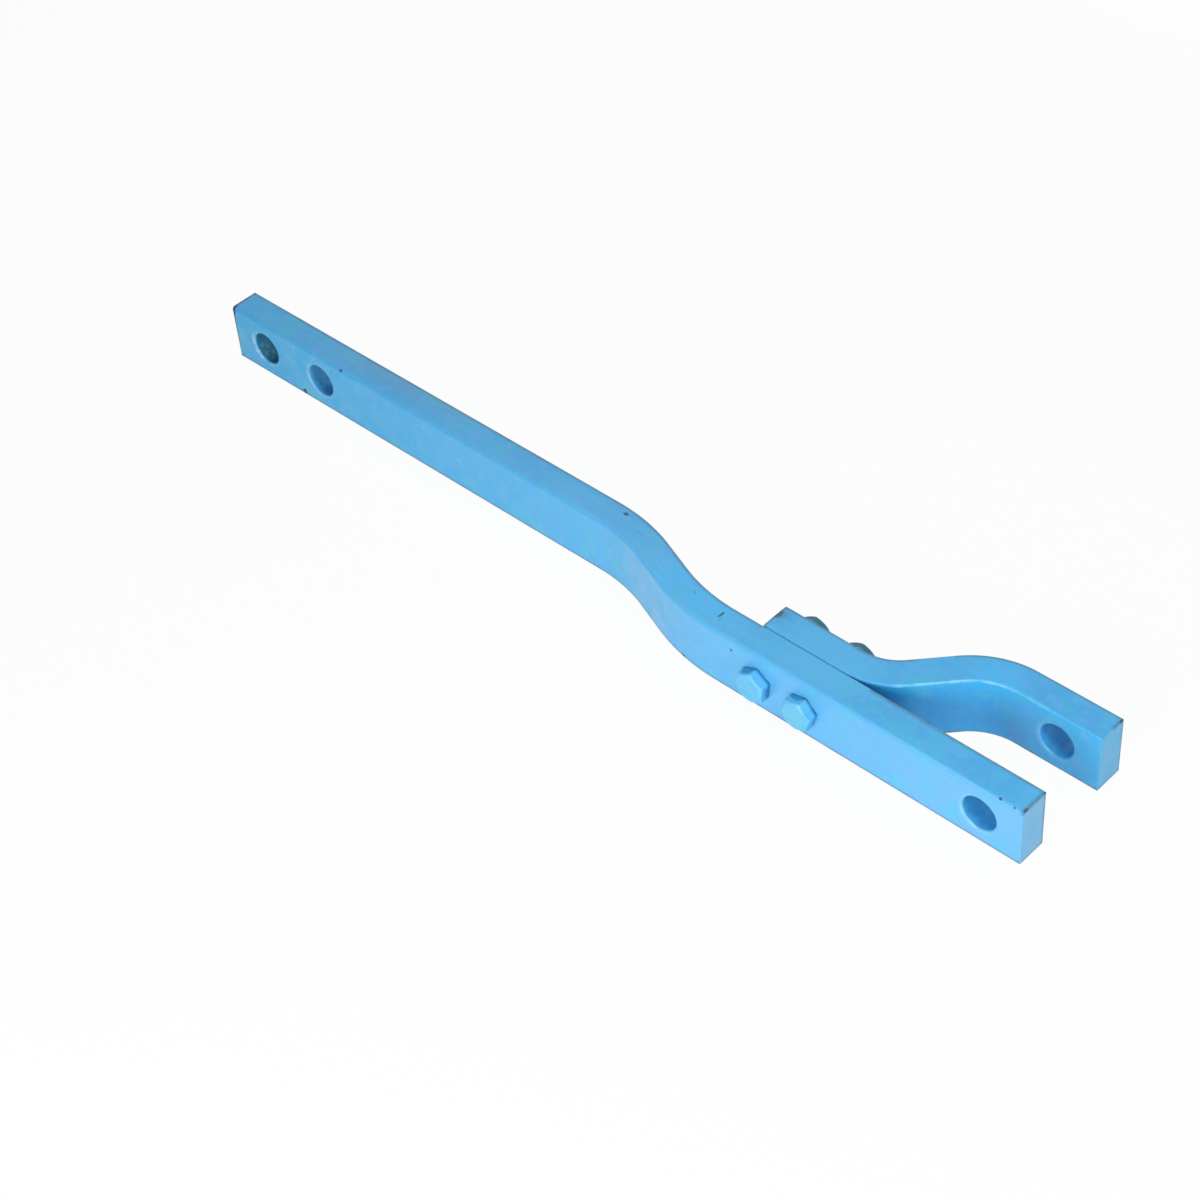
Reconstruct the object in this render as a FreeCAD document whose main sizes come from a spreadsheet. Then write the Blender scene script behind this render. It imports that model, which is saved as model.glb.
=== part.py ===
import FreeCAD, Part
import math
import os
import Sketcher

# Tractor drawbar with a bolted clevis strap.
# The bar lies on its narrow edge, with the pin holes level.
# The origin is on the hitch pin's axis, in the middle of the clevis.
# X runs along the bar towards the hitch end, Y runs along the hitch pin, Z is up.

doc = FreeCAD.newDocument("TractorDrawbar")
point = FreeCAD.Vector
sameSpot = 1e-4
beyondCorners = 0.65  # of the width across flats: clear of a hexagon's corners

# Driving sizes, in millimetres and degrees
drivingSizes = [
    ("BarLength", 822.3, "drawbar from end to end"),
    ("FlatWidth", 50.8, "bar and strap, height of their wide faces: one size of flat"),
    ("BarThickness", 25.4, "drawbar, thickness of the flat"),
    ("BarOffset", 31.75, "side step of the drawbar's S-bend"),
    ("BarBendAngle", 21.1, "slope of the drawbar between its bends"),
    ("BarRearBendRadius", 139.7, "drawbar, inside radius of the bend towards the tractor"),
    ("BarFrontBendRadius", 153.4, "drawbar, inside radius of the bend towards the hitch"),
    ("BarBendMargin", 25.1, "strap's rear end to the drawbar's front bend"),
    ("BarEndMargin", 34.9, "hitch pin axis to the drawbar's hitch end"),
    ("PivotEndMargin", 37.3, "outer pivot hole to the drawbar's tractor end"),
    ("PivotSpacing", 65.9, "between the two pivot holes"),
    ("PivotHoleDiameter", 28.0, "both pivot holes"),
    ("HitchHoleDiameter", 28.0, "hitch pin hole through bar and strap"),
    ("ClevisGap", 60.325, "clear space between bar and strap at the hitch pin"),
    ("StrapThickness", 25.4, "clevis strap, thickness of the flat"),
    ("StrapBendAngle", 46.5, "slope of the strap between its bends"),
    ("StrapRearBendRadius", 39.3, "strap, inside radius of the bend beside the bolts"),
    ("StrapFrontBendRadius", 46.9, "strap, inside radius of the bend beside the hitch pin"),
    ("StrapFrontStraight", 34.1, "hitch pin axis to the strap's front bend"),
    ("StrapEndMargin", 35.3, "hitch pin axis to the strap's hitch end"),
    ("StrapTailMargin", 15.7, "rear bolt to the strap's rear end"),
    ("RolledEdgeRadius", 2.0, "rounded long edges of both flats"),
    ("SawnEndChamfer", 0.8, "broken edges of the sawn ends"),
    ("PinHoleChamfer", 1.0, "rims of the pin holes"),
    ("FrontBoltMargin", 12.5, "strap's rear bend to the front bolt"),
    ("BoltSpacing", 41.8, "between the two bolts"),
    ("BoltDrop", 1.2, "bolts below the middle of the flats' width"),
    ("BoltDiameter", 15.875, "shank of the bolts"),
    ("BoltHoleClearance", 1.6, "bolt hole wider than the shank"),
    ("BoltHeadHeight", 9.9, "hexagon head, with its washer face"),
    ("WasherFaceHeight", 0.4, "raised round face under the bolt head"),
    ("HexAcrossFlats", 24.0, "heads and nuts, across their flats"),
    ("HexChamferRatio", 0.94, "chamfer circle over the width across flats"),
    ("HexChamferAngle", 30.0, "slope of the chamfered hexagon corners"),
    ("BoltProjection", 3.0, "bolt tip standing out of the nut"),
    ("BoltTipChamfer", 1.3, "bolt tip"),
    ("NutHeight", 13.9, "hexagon nut"),
    ("NutBoreClearance", 0.16, "nut bore wider than the shank"),
    ("NutBoreChamfer", 0.9, "countersunk outer mouth of the nut's bore"),
    ("RearHeadTurn", -25.0, "rear bolt head, angle of a corner from the bar's length"),
    ("FrontHeadTurn", -13.0, "front bolt head, the same"),
    ("RearNutTurn", -32.0, "rear nut, the same"),
    ("FrontNutTurn", -27.0, "front nut, the same"),
    ("WasherDiameter", 25.4, "lock washer, outside"),
    ("WasherBoreClearance", 0.6, "lock washer bore wider than the shank"),
    ("WasherThickness", 2.4, "lock washer, pressed flat"),
    ("WasherSplitGap", 1.1, "lock washer, width of its split"),
    ("WasherSplitSlope", 62.0, "lock washer, slope of its split"),
]

sheet = doc.addObject("Spreadsheet::Sheet", "Sizes")
size = {}
for row, (alias, value, meaning) in enumerate(drivingSizes, start=1):
    sheet.set("A%d" % row, alias)
    sheet.set("B%d" % row, str(value))
    sheet.set("C%d" % row, meaning)
    sheet.setAlias("B%d" % row, alias)
    size[alias] = value
doc.recompute()

# Places worked out from the driving sizes, all measured back from the hitch pin's axis
places = doc.addObject("App::VarSet", "Places")


def derive(name, expression):
    places.addProperty("App::PropertyFloat", name)
    places.setExpression(name, expression)
    doc.recompute()
    size[name] = getattr(places, name)


def named(name):
    return ("Places." if name in places.PropertiesList else "Sizes.") + name


# Length that an S-bend takes along the bar: its slope, and the tangents of its two arcs
def bendRun(step, thickness, rearRadius, frontRadius, angle):
    radii = "(Sizes.%s + Sizes.%s + Sizes.%s)" % (rearRadius, frontRadius, thickness)
    return "Sizes.%s / tan(Sizes.%s * 1 deg) + %s * tan(Sizes.%s * 0.5 deg)" % (step, angle, radii, angle)


derive("StrapBendRun", bendRun("ClevisGap", "StrapThickness", "StrapRearBendRadius",
                               "StrapFrontBendRadius", "StrapBendAngle"))
derive("BarBendRun", bendRun("BarOffset", "BarThickness", "BarRearBendRadius",
                             "BarFrontBendRadius", "BarBendAngle"))
derive("FrontBolt", "Sizes.StrapFrontStraight + Places.StrapBendRun + Sizes.FrontBoltMargin")
derive("RearBolt", "Places.FrontBolt + Sizes.BoltSpacing")
derive("StrapReach", "Places.RearBolt + Sizes.StrapTailMargin")
derive("BarFrontStraight", "Places.StrapReach + Sizes.BarBendMargin")
derive("BarReach", "Sizes.BarLength - Sizes.BarEndMargin")
derive("OuterPivot", "Places.BarReach - Sizes.PivotEndMargin")
derive("InnerPivot", "Places.OuterPivot - Sizes.PivotSpacing")


# Sketches and features, used by every piece
def newBody(label):
    body = doc.addObject("PartDesign::Body", label)
    body.Label = label
    return body


def newSketch(body, name, planeRole):
    sketch = body.newObject("Sketcher::SketchObject", name)
    plane = [item for item in body.Origin.OriginFeatures if item.Role == planeRole][0]
    sketch.AttachmentSupport = [(plane, "")]
    sketch.MapMode = "FlatFace"
    return sketch


def constrain(sketch, expression, kind, *references):
    index = sketch.addConstraint(Sketcher.Constraint(kind, *references))
    if expression:
        sketch.setExpression("Constraints[%d]" % index, expression)
    return index


def sharedEnds(sketch, first, second):
    for firstEnd in (1, 2):
        for secondEnd in (1, 2):
            gap = sketch.getPoint(first, firstEnd) - sketch.getPoint(second, secondEnd)
            if gap.Length < sameSpot:
                return firstEnd, secondEnd
    raise ValueError("sketch elements %d and %d don't meet" % (first, second))


def closeLoop(sketch, elements, arcs=()):
    for place, element in enumerate(elements):
        following = elements[(place + 1) % len(elements)]
        firstEnd, secondEnd = sharedEnds(sketch, element, following)
        kind = "Tangent" if element in arcs or following in arcs else "Coincident"
        constrain(sketch, None, kind, element, firstEnd, following, secondEnd)


def addPad(body, name, sketch, length, symmetric=False, reverse=False):
    pad = body.newObject("PartDesign::Pad", name)
    pad.Profile = sketch
    pad.SideType = "Symmetric" if symmetric else "One side"
    pad.Reversed = reverse
    pad.setExpression("Length", length)
    doc.recompute()
    return pad


def requireCut(body, feature, volumeBefore):
    doc.recompute()
    if not feature.Shape.Volume < volumeBefore - sameSpot:
        raise ValueError("%s removed nothing from %s" % (feature.Label, body.Label))


def addPocket(body, name, sketch, symmetric=True):
    volumeBefore = body.Shape.Volume
    pocket = body.newObject("PartDesign::Pocket", name)
    pocket.Profile = sketch
    pocket.SideType = "Symmetric" if symmetric else "One side"
    pocket.Type = "ThroughAll"
    requireCut(body, pocket, volumeBefore)
    return pocket


def addGroove(body, name, sketch):
    volumeBefore = body.Shape.Volume
    groove = body.newObject("PartDesign::Groove", name)
    groove.Profile = sketch
    groove.ReferenceAxis = (sketch, ["V_Axis"])
    groove.Angle = 360
    requireCut(body, groove, volumeBefore)
    return groove


def edgeNames(shape, wanted):
    return ["Edge%d" % (number + 1) for number, edge in enumerate(shape.Edges) if wanted(edge)]


def addFillet(body, name, radius, wanted):
    base = body.Tip
    fillet = body.newObject("PartDesign::Fillet", name)
    fillet.Base = (base, edgeNames(base.Shape, wanted))
    fillet.setExpression("Radius", radius)
    doc.recompute()


def addChamfer(body, name, width, wanted):
    base = body.Tip
    chamfer = body.newObject("PartDesign::Chamfer", name)
    chamfer.Base = (base, edgeNames(base.Shape, wanted))
    chamfer.setExpression("Size", width)
    doc.recompute()


def isCircle(edge, radius):
    return isinstance(edge.Curve, Part.Circle) and abs(edge.Curve.Radius - radius) < sameSpot


# Circles, each with its distance behind the origin, its distance below it and its diameter.
# They are drawn roughly, one behind the other, and take their real places from the sizes.
def holeSketch(body, name, planeRole, holes):
    roughRadius = 5
    roughStep = 100
    roughDrop = 1
    sketch = newSketch(body, name, planeRole)
    for place, (behind, below, diameter) in enumerate(holes, start=1):
        centre = point(-roughStep * place if behind else 0, -roughDrop if below else 0, 0)
        circle = sketch.addGeometry(Part.Circle(centre, point(0, 0, 1), roughRadius))
        if behind:
            constrain(sketch, behind, "DistanceX", circle, 3, -1, 1, roughStep * place)
        else:
            constrain(sketch, None, "PointOnObject", circle, 3, -2)
        if below:
            constrain(sketch, below, "DistanceY", circle, 3, -1, 1, roughDrop)
        else:
            constrain(sketch, None, "PointOnObject", circle, 3, -1)
        constrain(sketch, diameter, "Diameter", circle, 2 * roughRadius)
    doc.recompute()
    return sketch


# Outline of a flat bar with an S-bend, seen from above.
# The outer face of the rear bend is drawn first, from the rear end to the front end,
# then the front end, then the other face back again. side is +1 where the front end
# steps towards +Y and -1 where it steps towards -Y.
def bentFlatOutline(body, side, faceLevel, keys):
    thickness = size[keys["thickness"]]
    step = size[keys["step"]]
    rearRadius = size[keys["rearRadius"]]
    frontRadius = size[keys["frontRadius"]]
    slope = math.radians(size[keys["angle"]])
    frontTangent = -size[keys["frontStraight"]]
    rearTangent = frontTangent - size[keys["bendRun"]]
    frontEnd = size[keys["endMargin"]]
    rearEnd = -size[keys["reach"]]
    rearCentre = (rearTangent, thickness + rearRadius)
    frontCentre = (frontTangent, step - frontRadius)

    def place(x, across):
        return point(x, faceLevel + side * across, 0)

    def rearPoint(radius):
        return place(rearCentre[0] + radius * math.sin(slope), rearCentre[1] - radius * math.cos(slope))

    def frontPoint(radius):
        return place(frontCentre[0] - radius * math.sin(slope), frontCentre[1] + radius * math.cos(slope))

    def arc(centre, radius, start, end):
        circle = Part.Circle(place(*centre), point(0, 0, 1), radius)
        angles = [circle.parameter(start), circle.parameter(end)]
        if (angles[1] - angles[0]) % (2 * math.pi) > math.pi:
            angles.reverse()
        return Part.ArcOfCircle(circle, angles[0], angles[1])

    outerRear = rearRadius + thickness
    outerFront = frontRadius + thickness
    sketch = newSketch(body, "Outline", "XY_Plane")
    sketch.addGeometry([
        Part.LineSegment(place(rearEnd, 0), place(rearTangent, 0)),
        arc(rearCentre, outerRear, place(rearTangent, 0), rearPoint(outerRear)),
        Part.LineSegment(rearPoint(outerRear), frontPoint(frontRadius)),
        arc(frontCentre, frontRadius, frontPoint(frontRadius), place(frontTangent, step)),
        Part.LineSegment(place(frontTangent, step), place(frontEnd, step)),
        Part.LineSegment(place(frontEnd, step), place(frontEnd, step + thickness)),
        Part.LineSegment(place(frontEnd, step + thickness), place(frontTangent, step + thickness)),
        arc(frontCentre, outerFront, place(frontTangent, step + thickness), frontPoint(outerFront)),
        Part.LineSegment(frontPoint(outerFront), rearPoint(rearRadius)),
        arc(rearCentre, rearRadius, rearPoint(rearRadius), place(rearTangent, thickness)),
        Part.LineSegment(place(rearTangent, thickness), place(rearEnd, thickness)),
        Part.LineSegment(place(rearEnd, thickness), place(rearEnd, 0)),
    ])
    closeLoop(sketch, list(range(12)), arcs=(1, 3, 7, 9))
    for level in (0, 4, 6, 10):
        constrain(sketch, None, "Horizontal", level)
    for upright in (5, 11):
        constrain(sketch, None, "Vertical", upright)
    constrain(sketch, None, "Coincident", 1, 3, 9, 3)
    constrain(sketch, None, "Coincident", 3, 3, 7, 3)
    constrain(sketch, None, "Parallel", 2, 8)
    constrain(sketch, named(keys["thickness"]), "Distance", 11, thickness)
    constrain(sketch, named(keys["rearRadius"]), "Radius", 9, rearRadius)
    constrain(sketch, named(keys["frontRadius"]), "Radius", 3, frontRadius)
    lower, upper = ((0, 1), (4, 2)) if side > 0 else ((4, 2), (0, 1))
    constrain(sketch, named(keys["step"]), "DistanceY", *lower, *upper, step)
    sign = "" if side > 0 else "-"
    constrain(sketch, sign + named(keys["angle"]), "Angle", 2, side * slope)
    constrain(sketch, named(keys["frontStraight"]), "DistanceX", 4, 1, -1, 1, -frontTangent)
    constrain(sketch, named(keys["endMargin"]), "DistanceX", -1, 1, 4, 2, frontEnd)
    constrain(sketch, named(keys["reach"]), "DistanceX", 0, 1, -1, 1, -rearEnd)
    # the face that lies in the joint between bar and strap
    jointFace = 0 if side > 0 else 4
    constrain(sketch, "Sizes.ClevisGap / 2", "DistanceY", jointFace, 1, -1, 1, size["ClevisGap"] / 2)
    doc.recompute()
    if not sketch.FullyConstrained:
        raise ValueError("the outline of %s isn't fully constrained" % body.Label)
    return sketch


def finishFlat(body):
    # rolled edges along the flat, broken edges round its sawn ends
    halfWidth = size["FlatWidth"] / 2
    ends = (body.Shape.BoundBox.XMin, body.Shape.BoundBox.XMax)

    def isRolledEdge(edge):
        box = edge.BoundBox
        level = min(abs(box.ZMin - halfWidth), abs(box.ZMin + halfWidth))
        return level < sameSpot and box.ZLength < sameSpot and box.XLength > 1

    def isSawnEdge(edge):
        box = edge.BoundBox
        gap = min(abs(box.XMin - ends[0]), abs(box.XMax - ends[1]))
        return gap < sameSpot and box.XLength < sameSpot

    addFillet(body, "RolledEdges", "Sizes.RolledEdgeRadius", isRolledEdge)
    addChamfer(body, "SawnEnds", "Sizes.SawnEndChamfer", isSawnEdge)


def breakPinHoles(body, diameters):
    radii = {size[diameter] / 2 for diameter in diameters}
    addChamfer(body, "PinHoleRims", "Sizes.PinHoleChamfer",
               lambda edge: any(isCircle(edge, radius) for radius in radii))


boltHoles = [
    ("Places.RearBolt", "Sizes.BoltDrop", "Sizes.BoltDiameter + Sizes.BoltHoleClearance"),
    ("Places.FrontBolt", "Sizes.BoltDrop", "Sizes.BoltDiameter + Sizes.BoltHoleClearance"),
]
hitchHole = (None, None, "Sizes.HitchHoleDiameter")


# Drawbar bar: a long flat, bent once into a gentle S
def makeBar():
    body = newBody("drawbar_bar")
    keys = {"thickness": "BarThickness", "step": "BarOffset", "rearRadius": "BarRearBendRadius",
            "frontRadius": "BarFrontBendRadius", "angle": "BarBendAngle", "bendRun": "BarBendRun",
            "frontStraight": "BarFrontStraight", "endMargin": "BarEndMargin", "reach": "BarReach"}
    outline = bentFlatOutline(body, -1, size["BarOffset"] - size["ClevisGap"] / 2, keys)
    addPad(body, "Flat", outline, "Sizes.FlatWidth", symmetric=True)
    pivotHoles = [
        ("Places.OuterPivot", None, "Sizes.PivotHoleDiameter"),
        ("Places.InnerPivot", None, "Sizes.PivotHoleDiameter"),
    ]
    pins = holeSketch(body, "PinCentres", "XZ_Plane", pivotHoles + [hitchHole])
    addPocket(body, "PinHoles", pins)
    bolts = holeSketch(body, "BoltCentres", "XZ_Plane", boltHoles)
    addPocket(body, "BoltHoles", bolts)
    finishFlat(body)
    breakPinHoles(body, ("PivotHoleDiameter", "HitchHoleDiameter"))
    return body


# Clevis strap: a short flat, bent harder, that stands off from the bar
def makeStrap():
    body = newBody("clevis_strap")
    keys = {"thickness": "StrapThickness", "step": "ClevisGap", "rearRadius": "StrapRearBendRadius",
            "frontRadius": "StrapFrontBendRadius", "angle": "StrapBendAngle",
            "bendRun": "StrapBendRun", "frontStraight": "StrapFrontStraight",
            "endMargin": "StrapEndMargin", "reach": "StrapReach"}
    outline = bentFlatOutline(body, 1, -size["ClevisGap"] / 2, keys)
    addPad(body, "Flat", outline, "Sizes.FlatWidth", symmetric=True)
    pins = holeSketch(body, "PinCentre", "XZ_Plane", [hitchHole])
    addPocket(body, "PinHole", pins)
    bolts = holeSketch(body, "BoltCentres", "XZ_Plane", boltHoles)
    addPocket(body, "BoltHoles", bolts)
    finishFlat(body)
    breakPinHoles(body, ("HitchHoleDiameter",))
    return body


# Hexagon of a head or nut, with one corner turned from the X axis
def hexagonSketch(body, name, turn):
    sketch = newSketch(body, name, "XY_Plane")
    cornerRadius = size["HexAcrossFlats"] / math.sqrt(3)
    start = math.radians(size[turn])
    corners = []
    for number in range(6):
        angle = start + number * math.pi / 3
        corners.append(point(cornerRadius * math.cos(angle), cornerRadius * math.sin(angle), 0))
    for number in range(6):
        sketch.addGeometry(Part.LineSegment(corners[number], corners[(number + 1) % 6]))
    ring = sketch.addGeometry(Part.Circle(point(0, 0, 0), point(0, 0, 1), cornerRadius), True)
    spoke = sketch.addGeometry(Part.LineSegment(point(0, 0, 0), corners[0]), True)
    closeLoop(sketch, list(range(6)))
    constrain(sketch, None, "Coincident", ring, 3, -1, 1)
    for number in range(6):
        constrain(sketch, None, "PointOnObject", number, 1, ring)
    for number in range(1, 6):
        constrain(sketch, None, "Equal", 0, number)
    constrain(sketch, None, "Coincident", spoke, 1, -1, 1)
    constrain(sketch, None, "Coincident", spoke, 2, 0, 1)
    constrain(sketch, "Sizes." + turn, "Angle", spoke, start)
    constrain(sketch, "Sizes.HexAcrossFlats", "Distance", 0, 1, 3, size["HexAcrossFlats"])
    doc.recompute()
    return sketch


# Chamfer of the hexagon's corners: a triangle turned round the axis.
# into is +1 where the solid lies above the face and -1 where it lies below.
def chamferCorners(body, name, faceHeight, heightSize, into):
    inner = size["HexAcrossFlats"] * size["HexChamferRatio"] / 2
    outer = size["HexAcrossFlats"] * beyondCorners
    slope = math.radians(size["HexChamferAngle"])
    tip = point(inner, faceHeight, 0)
    corner = point(outer, faceHeight, 0)
    wall = point(outer, faceHeight + into * (outer - inner) * math.tan(slope), 0)
    sketch = newSketch(body, name + "Profile", "XZ_Plane")
    sketch.addGeometry([
        Part.LineSegment(tip, corner),
        Part.LineSegment(corner, wall),
        Part.LineSegment(tip, wall),
    ])
    closeLoop(sketch, [0, 1, 2])
    constrain(sketch, None, "Horizontal", 0)
    constrain(sketch, None, "Vertical", 1)
    innerSize = "Sizes.HexAcrossFlats * Sizes.HexChamferRatio / 2"
    constrain(sketch, innerSize, "DistanceX", -1, 1, 0, 1, inner)
    outerSize = "Sizes.HexAcrossFlats * %s" % beyondCorners
    constrain(sketch, outerSize, "DistanceX", -1, 1, 0, 2, outer)
    sign = "" if into > 0 else "-"
    constrain(sketch, sign + "Sizes.HexChamferAngle", "Angle", 2, into * slope)
    if faceHeight > 0:
        constrain(sketch, heightSize, "DistanceY", -1, 1, 0, 1, faceHeight)
    else:
        constrain(sketch, heightSize, "DistanceY", 0, 1, -1, 1, -faceHeight)
    doc.recompute()
    addGroove(body, name, sketch)


# Raised round face under the head: the rest of the head's underside is cut back
def cutWasherFace(body):
    inner = size["HexAcrossFlats"] * size["HexChamferRatio"] / 2
    outer = size["HexAcrossFlats"] * beyondCorners
    depth = size["WasherFaceHeight"]
    corners = [point(inner, 0, 0), point(outer, 0, 0), point(outer, -depth, 0), point(inner, -depth, 0)]
    sketch = newSketch(body, "WasherFaceProfile", "XZ_Plane")
    for number in range(4):
        sketch.addGeometry(Part.LineSegment(corners[number], corners[(number + 1) % 4]))
    closeLoop(sketch, [0, 1, 2, 3])
    for level in (0, 2):
        constrain(sketch, None, "Horizontal", level)
    for upright in (1, 3):
        constrain(sketch, None, "Vertical", upright)
    constrain(sketch, None, "PointOnObject", 0, 1, -1)
    innerSize = "Sizes.HexAcrossFlats * Sizes.HexChamferRatio / 2"
    constrain(sketch, innerSize, "DistanceX", -1, 1, 0, 1, inner)
    outerSize = "Sizes.HexAcrossFlats * %s" % beyondCorners
    constrain(sketch, outerSize, "DistanceX", -1, 1, 0, 2, outer)
    constrain(sketch, "Sizes.WasherFaceHeight", "DistanceY", 2, 1, 0, 2, depth)
    doc.recompute()
    addGroove(body, "WasherFace", sketch)


# Fasteners are drawn upright on the XY plane, then laid along the Y axis
def placeOnBoltAxis(body, behind, seat):
    body.Placement.Rotation = FreeCAD.Rotation(point(1, 0, 0), -90)
    body.setExpression("Placement.Base.x", "-" + behind)
    body.setExpression("Placement.Base.y", seat)
    body.setExpression("Placement.Base.z", "-Sizes.BoltDrop")


headSeat = "-Sizes.ClevisGap / 2 - Sizes.BarThickness"
washerSeat = "Sizes.StrapThickness - Sizes.ClevisGap / 2"
nutSeat = washerSeat + " + Sizes.WasherThickness"
shankLength = ("Sizes.BarThickness + Sizes.StrapThickness + Sizes.WasherThickness"
               " + Sizes.NutHeight + Sizes.BoltProjection")


def makeBolt(label, behind, turn):
    body = newBody(label)
    hexagon = hexagonSketch(body, "Hexagon", turn)
    addPad(body, "Head", hexagon, "Sizes.BoltHeadHeight", reverse=True)
    chamferCorners(body, "HeadChamfer", -size["BoltHeadHeight"], "Sizes.BoltHeadHeight", 1)
    cutWasherFace(body)
    shank = holeSketch(body, "ShankCircle", "XY_Plane", [(None, None, "Sizes.BoltDiameter")])
    addPad(body, "Shank", shank, shankLength)
    tipHeight = body.Shape.BoundBox.ZMax
    addChamfer(body, "Tip", "Sizes.BoltTipChamfer",
               lambda edge: isCircle(edge, size["BoltDiameter"] / 2)
               and abs(edge.BoundBox.ZMin - tipHeight) < sameSpot)
    placeOnBoltAxis(body, behind, headSeat)
    return body


def makeNut(label, behind, turn):
    body = newBody(label)
    hexagon = hexagonSketch(body, "Hexagon", turn)
    addPad(body, "Block", hexagon, "Sizes.NutHeight")
    chamferCorners(body, "CornerChamfer", size["NutHeight"], "Sizes.NutHeight", -1)
    boreSize = "Sizes.BoltDiameter + Sizes.NutBoreClearance"
    bore = holeSketch(body, "BoreCircle", "XY_Plane", [(None, None, boreSize)])
    addPocket(body, "Bore", bore)
    boreRadius = (size["BoltDiameter"] + size["NutBoreClearance"]) / 2
    addChamfer(body, "BoreMouth", "Sizes.NutBoreChamfer",
               lambda edge: isCircle(edge, boreRadius)
               and abs(edge.BoundBox.ZMin - size["NutHeight"]) < sameSpot)
    placeOnBoltAxis(body, behind, nutSeat)
    return body


# Lock washer: a flat ring, split by a sloping cut on one side
def makeWasher(label, behind):
    body = newBody(label)
    ringSizes = [(None, None, "Sizes.WasherDiameter"),
                 (None, None, "Sizes.BoltDiameter + Sizes.WasherBoreClearance")]
    ring = holeSketch(body, "RingCircles", "XY_Plane", ringSizes)
    addPad(body, "Ring", ring, "Sizes.WasherThickness")
    gap = size["WasherSplitGap"]
    height = size["WasherThickness"]
    slope = math.radians(size["WasherSplitSlope"])
    lean = height / math.tan(slope)
    corners = [point(0, 0, 0), point(gap, 0, 0), point(gap + lean, height, 0), point(lean, height, 0)]
    sketch = newSketch(body, "SplitProfile", "YZ_Plane")
    for number in range(4):
        sketch.addGeometry(Part.LineSegment(corners[number], corners[(number + 1) % 4]))
    closeLoop(sketch, [0, 1, 2, 3])
    for level in (0, 2):
        constrain(sketch, None, "Horizontal", level)
    constrain(sketch, None, "Parallel", 1, 3)
    constrain(sketch, None, "Coincident", 0, 1, -1, 1)
    constrain(sketch, "Sizes.WasherSplitGap", "Distance", 0, gap)
    constrain(sketch, "Sizes.WasherThickness", "DistanceY", 1, 1, 1, 2, height)
    constrain(sketch, "Sizes.WasherSplitSlope", "Angle", 1, slope)
    doc.recompute()
    addPocket(body, "Split", sketch, symmetric=False)
    placeOnBoltAxis(body, behind, washerSeat)
    return body


pieces = [
    makeBar(),
    makeStrap(),
    makeBolt("rear_bolt", "Places.RearBolt", "RearHeadTurn"),
    makeBolt("front_bolt", "Places.FrontBolt", "FrontHeadTurn"),
    makeWasher("rear_lock_washer", "Places.RearBolt"),
    makeWasher("front_lock_washer", "Places.FrontBolt"),
    makeNut("rear_nut", "Places.RearBolt", "RearNutTurn"),
    makeNut("front_nut", "Places.FrontBolt", "FrontNutTurn"),
]
doc.recompute()

# Every object must be sound before anything is written
for item in doc.Objects:
    if "Invalid" in item.State or "Error" in item.State:
        raise ValueError("%s failed: %s" % (item.Label, item.State))
for piece in pieces:
    if piece.Shape.isNull() or not piece.Shape.isValid() or len(piece.Shape.Solids) != 1:
        raise ValueError("%s isn't one sound solid" % piece.Label)

os.makedirs("parts", exist_ok=True)
for piece in pieces:
    piece.Shape.exportStep("parts/%s.step" % piece.Label)
    box = piece.Shape.BoundBox
    print("%-18s volume %10.1f mm3, X %.1f..%.1f, Y %.1f..%.1f, Z %.1f..%.1f" % (
        piece.Label, piece.Shape.Volume, box.XMin, box.XMax, box.YMin, box.YMax, box.ZMin, box.ZMax))
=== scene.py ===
import math

import bmesh
import bpy
from mathutils import Matrix, Vector, noise


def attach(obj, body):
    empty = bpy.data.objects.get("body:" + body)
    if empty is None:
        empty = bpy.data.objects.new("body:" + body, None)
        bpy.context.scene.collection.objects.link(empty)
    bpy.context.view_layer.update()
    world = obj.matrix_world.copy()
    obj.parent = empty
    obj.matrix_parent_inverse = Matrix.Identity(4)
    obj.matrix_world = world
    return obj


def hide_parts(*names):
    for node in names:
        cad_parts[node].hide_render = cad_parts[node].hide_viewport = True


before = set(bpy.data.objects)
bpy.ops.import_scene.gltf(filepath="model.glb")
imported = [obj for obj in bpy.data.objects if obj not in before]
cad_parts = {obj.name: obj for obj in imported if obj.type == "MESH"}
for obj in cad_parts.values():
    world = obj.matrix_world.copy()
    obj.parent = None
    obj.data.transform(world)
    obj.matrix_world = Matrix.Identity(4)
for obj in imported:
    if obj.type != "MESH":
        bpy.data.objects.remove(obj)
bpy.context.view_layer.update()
scene = bpy.context.scene
mm = 0.001
print("frame loaded:", ", ".join(sorted(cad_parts)))


# small helpers

def addPiece(name, bm):
    mesh = bpy.data.meshes.new(name)
    bm.to_mesh(mesh)
    bm.free()
    piece = bpy.data.objects.new(name, mesh)
    scene.collection.objects.link(piece)
    return piece


def bakeModifiers(piece):
    # what the modifiers make becomes the piece's own mesh
    solved = bpy.context.evaluated_depsgraph_get()
    mesh = bpy.data.meshes.new_from_object(piece.evaluated_get(solved))
    piece.modifiers.clear()
    old = piece.data
    piece.data = mesh
    bpy.data.meshes.remove(old)


def combine(piece, tool, operation):
    cut = piece.modifiers.new("combine", "BOOLEAN")
    cut.operation = operation
    cut.solver = "EXACT"
    cut.object = tool
    bakeModifiers(piece)
    bpy.data.objects.remove(tool)


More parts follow.
